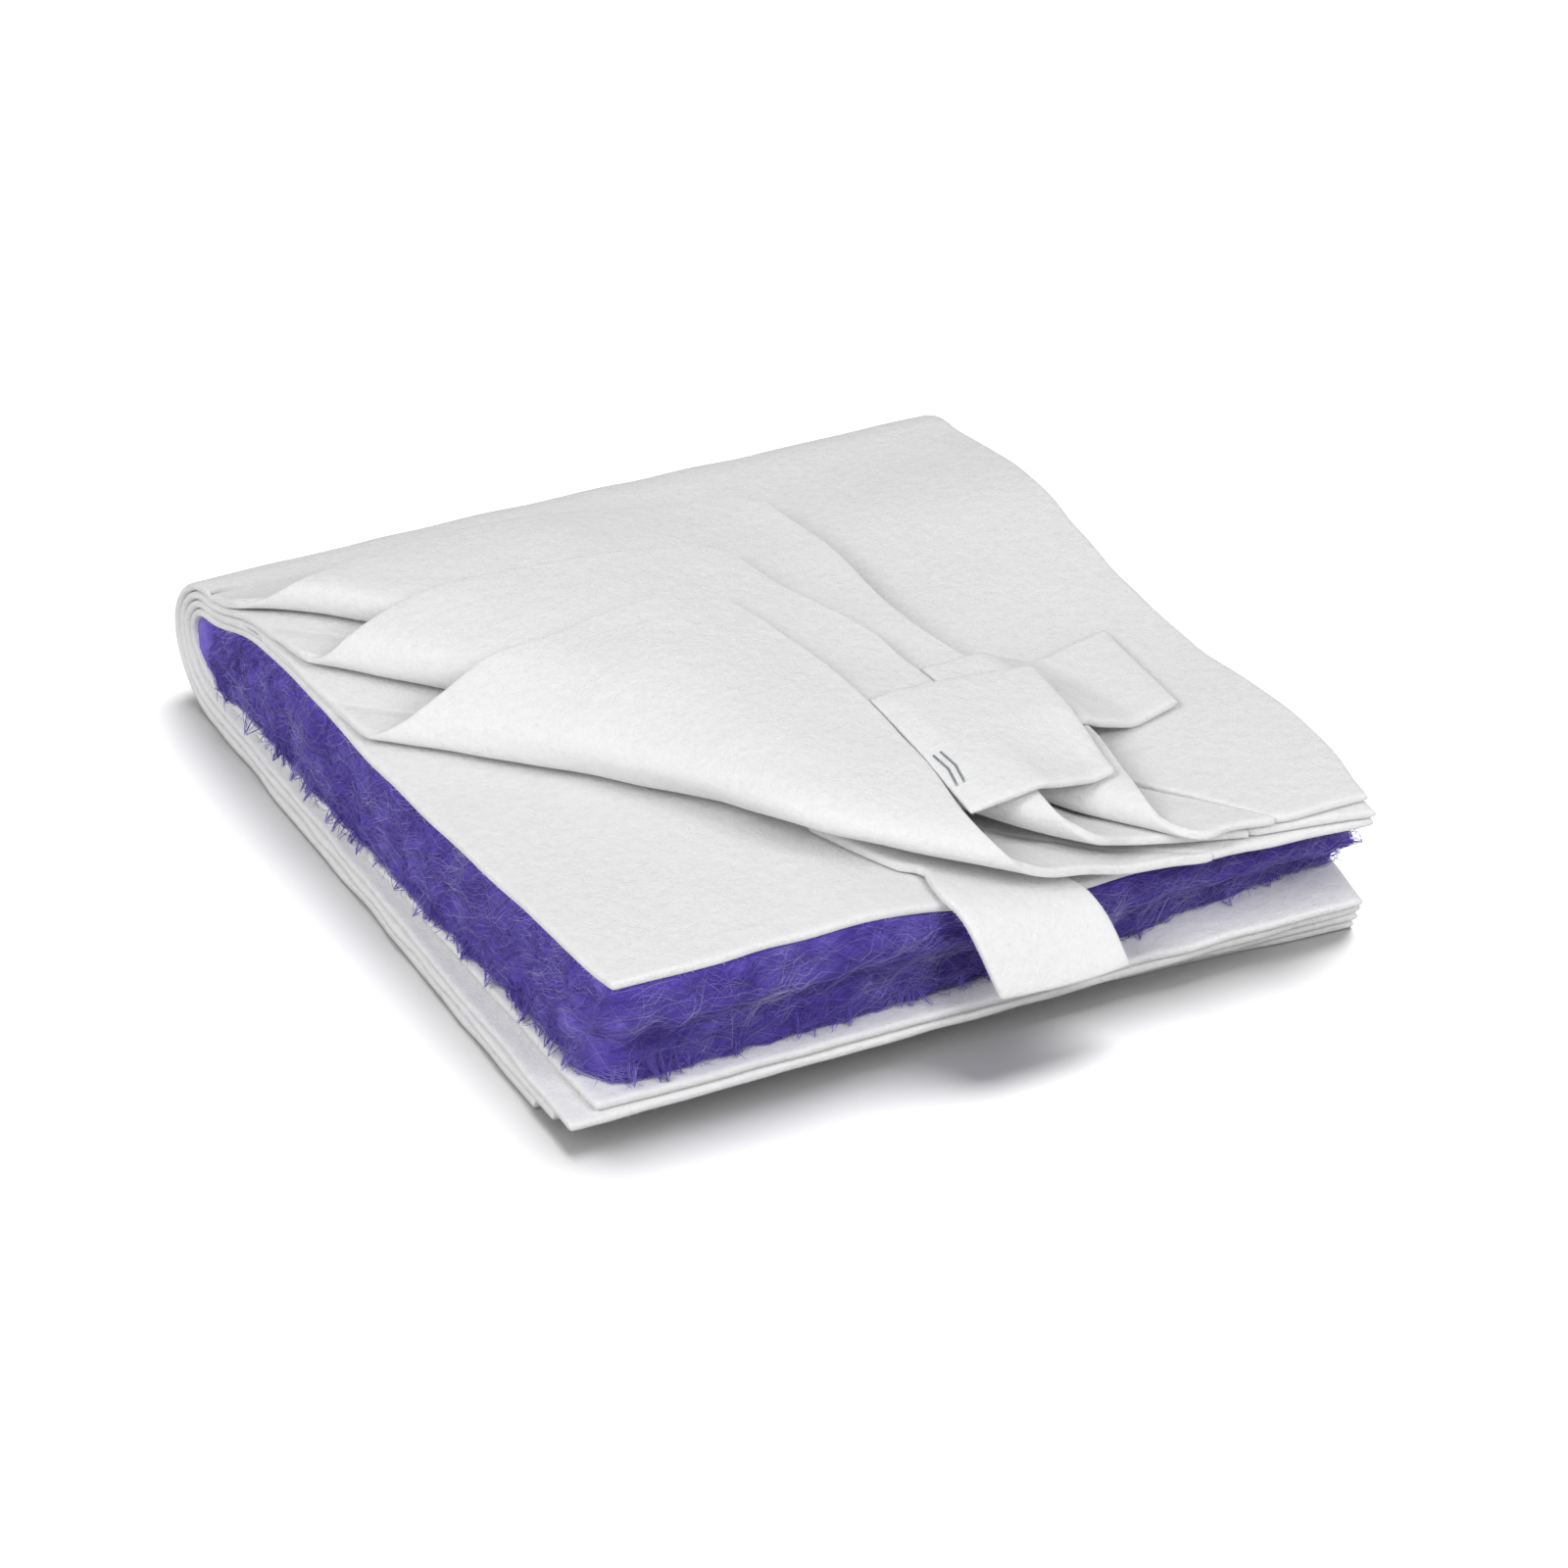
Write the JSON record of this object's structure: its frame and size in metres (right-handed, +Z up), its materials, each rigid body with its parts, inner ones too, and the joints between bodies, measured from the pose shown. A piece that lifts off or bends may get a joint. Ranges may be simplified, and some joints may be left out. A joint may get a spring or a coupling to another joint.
{
  "type": "cleaning cloth",
  "caption": "Folded cleaning cloth pack: white felt sheets around a thick purple fleece, with three sheet corners turned back and stapled pull tabs",
  "frame": {"origin": "middle of the underside: half the sheet width along X, half the folded depth along Y, on the surface the pack lies on", "axes": "+X to the right along the open front edge, +Y from the open edge to the fold, +Z up"},
  "size_m": [0.2173, 0.2606, 0.0651],
  "materials": {
    "felt": "matt needled felt",
    "tab_felt": "matt needled felt",
    "fleece": "loose long fibres with a soft sheen",
    "steel": "bright wire"
  },
  "bodies": {
    "lower_half": {"sheet_1_lower": "felt", "sheet_1_fold": "felt", "sheet_2_lower": "felt", "sheet_2_fold": "felt", "sheet_3_lower": "felt", "sheet_3_fold": "felt", "sheet_4_lower": "felt", "sheet_4_fold": "felt", "fleece_lower": "fleece", "fleece_fold": "fleece"},
    "upper_half": {"sheet_1_upper": "felt", "sheet_2_upper": "felt", "sheet_3_upper": "felt", "sheet_4_upper": "felt", "fleece_upper": "fleece", "tab_3_root": "tab_felt", "staple_3a": "steel", "staple_3b": "steel", "sheet_1_roll": "felt", "sheet_2_roll": "felt", "sheet_3_roll": "felt"},
    "corner_3": {"sheet_3_corner": "felt"},
    "corner_2": {"sheet_2_corner": "felt", "tab_1_root": "tab_felt", "staple_1a": "steel", "staple_1b": "steel"},
    "corner_1": {"sheet_1_corner": "felt", "tab_2_root": "tab_felt", "staple_2a": "steel", "staple_2b": "steel"},
    "tab_1": {"tab_1_free": "tab_felt"},
    "tab_2": {"tab_2_free": "tab_felt"},
    "tab_3": {"tab_3_free": "tab_felt"}
  },
  "joints": [
    {"name": "open_pack", "type": "hinge", "parent": "lower_half", "child": "upper_half", "pos_m": [0, 0.09615, 0.01925], "axis": [-1, 0, 0], "range_deg": [0, 179], "deforming": ["sheet_1_fold", "sheet_2_fold", "sheet_3_fold", "sheet_4_fold", "fleece_fold"]},
    {"name": "turn_corner_3", "type": "hinge", "parent": "upper_half", "child": "corner_3", "pos_m": [-0.04685, -0.06825, 0.0555], "axis": [0.6556, -0.7549, -0.0199], "range_deg": [0, 150], "deforming": ["sheet_3_roll"]},
    {"name": "turn_corner_2", "type": "hinge", "parent": "upper_half", "child": "corner_2", "pos_m": [-0.02765, -0.03835, 0.054], "axis": [0.6153, -0.7882, -0.0051], "range_deg": [0, 112.5], "deforming": ["sheet_2_roll"]},
    {"name": "turn_corner_1", "type": "hinge", "parent": "upper_half", "child": "corner_1", "pos_m": [-0.01585, -0.02195, 0.049], "axis": [0.6, -0.8, -0.0042], "range_deg": [0, 75], "deforming": ["sheet_1_roll"]},
    {"name": "lift_tab_1", "type": "hinge", "parent": "corner_2", "child": "tab_1", "pos_m": [0.01463, -0.07971, 0.06049], "axis": [0.0363, -0.9951, -0.0922], "range_deg": [0, 34.5]},
    {"name": "lift_tab_2", "type": "hinge", "parent": "corner_1", "child": "tab_2", "pos_m": [0.04117, -0.05905, 0.05374], "axis": [-0.0243, -0.9997, 0.0102], "range_deg": [0, 30]},
    {"name": "lift_tab_3", "type": "hinge", "parent": "upper_half", "child": "tab_3", "pos_m": [0.00986, -0.12223, 0.03948], "axis": [-0.9788, -0.0106, 0.2045], "range_deg": [0, 65]}
  ],
  "couplings": [
    {"joint": "turn_corner_2", "follows": "turn_corner_3", "ratio": 0.75},
    {"joint": "turn_corner_1", "follows": "turn_corner_3", "ratio": 0.5},
    {"joint": "lift_tab_1", "follows": "lift_tab_2", "ratio": 1.15}
  ]
}
